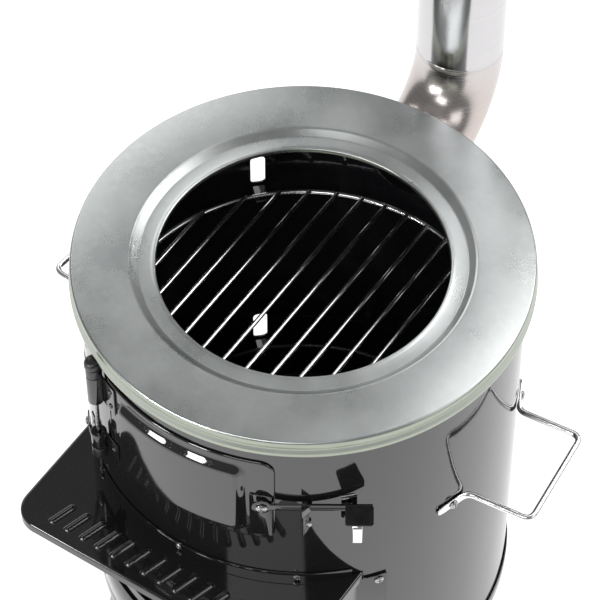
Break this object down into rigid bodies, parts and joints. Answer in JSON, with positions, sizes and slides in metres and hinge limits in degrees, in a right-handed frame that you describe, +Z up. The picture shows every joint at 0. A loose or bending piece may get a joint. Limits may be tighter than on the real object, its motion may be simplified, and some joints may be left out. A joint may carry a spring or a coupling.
{
  "type": "rocket stove",
  "caption": "Round enamelled wood stove with a zinc pot ring, wire grates, hinged fuel door with swing latch, front shelf, ash drawer, folding legs and a slip-jointed chimney.",
  "frame": {"origin": "on the drum's axis at the underside of its base plate", "axes": "+Z up along the drum, front (fuel door and shelf) towards -Y, chimney towards +Y, +X to the right seen from the front"},
  "size_m": [0.5236, 0.5991, 1.49],
  "materials": {
    "enamel": "glossy black vitreous enamel",
    "zinc": "satin zinc-plated sheet",
    "chrome": "bright plated wire",
    "stainless": "polished stainless tube",
    "fastener": "plated screws and pins",
    "black_fitting": "semi-matt black steel"
  },
  "bodies": {
    "stove_body": {"drum_shell": "enamel", "drum_base": "enamel", "front_shelf": "enamel", "mouth_wing_left": "enamel", "mouth_wing_right": "enamel", "drawer_rail_left": "enamel", "drawer_rail_right": "enamel", "flue_collar": "enamel", "leg_bracket_left": "enamel", "leg_bracket_right": "enamel", "leg_bracket_rear": "enamel", "handle_right": "chrome", "handle_left": "chrome", "flue_elbow": "stainless", "hinge_pin": "black_fitting", "keeper_screw": "fastener", "leg_pin_left": "fastener", "leg_pin_right": "fastener", "leg_pin_rear": "fastener", "handle_screw_1": "fastener", "handle_screw_2": "fastener", "handle_screw_3": "fastener", "handle_screw_4": "fastener", "shelf_screw_1": "fastener", "shelf_screw_2": "fastener", "shelf_screw_3": "fastener", "wing_screw_1": "fastener", "wing_screw_2": "fastener", "wing_screw_3": "fastener", "wing_screw_4": "fastener", "bracket_screw_1": "fastener", "bracket_screw_2": "fastener", "hinge_bracket_upper": "black_fitting", "hinge_bracket_lower": "black_fitting", "latch_keeper": "black_fitting"},
    "pot_ring": {"pot_ring": "zinc"},
    "cook_grate": {"cook_grate": "chrome"},
    "fire_grate": {"fire_grate": "black_fitting"},
    "fuel_door": {"fuel_door": "enamel", "door_leaf_upper": "enamel", "door_leaf_lower": "enamel", "latch_plate": "enamel", "latch_pivot_screw": "fastener", "latch_spacer": "fastener"},
    "latch_lever": {"latch_lever": "enamel"},
    "ash_drawer": {"ash_drawer": "enamel", "drawer_front": "enamel", "drawer_handle": "chrome"},
    "pipe_lower": {"pipe_lower": "stainless"},
    "pipe_middle": {"pipe_middle": "stainless"},
    "pipe_upper": {"pipe_upper": "stainless"},
    "chimney_cap": {"chimney_cap": "stainless"},
    "leg_left": {"leg_left": "enamel"},
    "leg_right": {"leg_right": "enamel"},
    "leg_rear": {"leg_rear": "enamel"}
  },
  "joints": [
    {"name": "pot_ring_lift", "type": "slide", "parent": "stove_body", "child": "pot_ring", "axis": [0, 0, 1], "range_m": [0, 0.15]},
    {"name": "cook_grate_lift", "type": "slide", "parent": "stove_body", "child": "cook_grate", "axis": [0, 0, 1], "range_m": [0, 0.09]},
    {"name": "fire_grate_lift", "type": "slide", "parent": "stove_body", "child": "fire_grate", "axis": [0, 0, 1], "range_m": [0, 0.1]},
    {"name": "door_hinge", "type": "hinge", "parent": "stove_body", "child": "fuel_door", "pos_m": [-0.09521, -0.1829, 0.273], "axis": [0, 0, -1], "range_deg": [0, 150]},
    {"name": "latch_pivot", "type": "hinge", "parent": "fuel_door", "child": "latch_lever", "pos_m": [0.08123, -0.18751, 0.328], "axis": [0.5446, -0.8387, 0], "range_deg": [0, 40]},
    {"name": "drawer_slide", "type": "slide", "parent": "stove_body", "child": "ash_drawer", "axis": [0, -1, 0], "range_m": [0, 0.2]},
    {"name": "pipe_lower_lift", "type": "slide", "parent": "stove_body", "child": "pipe_lower", "axis": [0, 0, 1], "range_m": [0, 0.05]},
    {"name": "pipe_middle_lift", "type": "slide", "parent": "pipe_lower", "child": "pipe_middle", "axis": [0, 0, 1], "range_m": [0, 0.05]},
    {"name": "pipe_upper_lift", "type": "slide", "parent": "pipe_middle", "child": "pipe_upper", "axis": [0, 0, 1], "range_m": [0, 0.05]},
    {"name": "chimney_cap_lift", "type": "slide", "parent": "pipe_upper", "child": "chimney_cap", "axis": [0, 0, 1], "range_m": [0, 0.05]},
    {"name": "leg_left_fold", "type": "hinge", "parent": "stove_body", "child": "leg_left", "pos_m": [-0.10756, -0.14805, -0.013], "axis": [0.809, -0.5878, 0], "range_deg": [0, 95]},
    {"name": "leg_right_fold", "type": "hinge", "parent": "stove_body", "child": "leg_right", "pos_m": [0.10756, -0.14805, -0.013], "axis": [0.809, 0.5878, 0], "range_deg": [0, 95]},
    {"name": "leg_rear_fold", "type": "hinge", "parent": "stove_body", "child": "leg_rear", "pos_m": [0, 0.183, -0.013], "axis": [-1, 0, 0], "range_deg": [0, 95]}
  ]
}
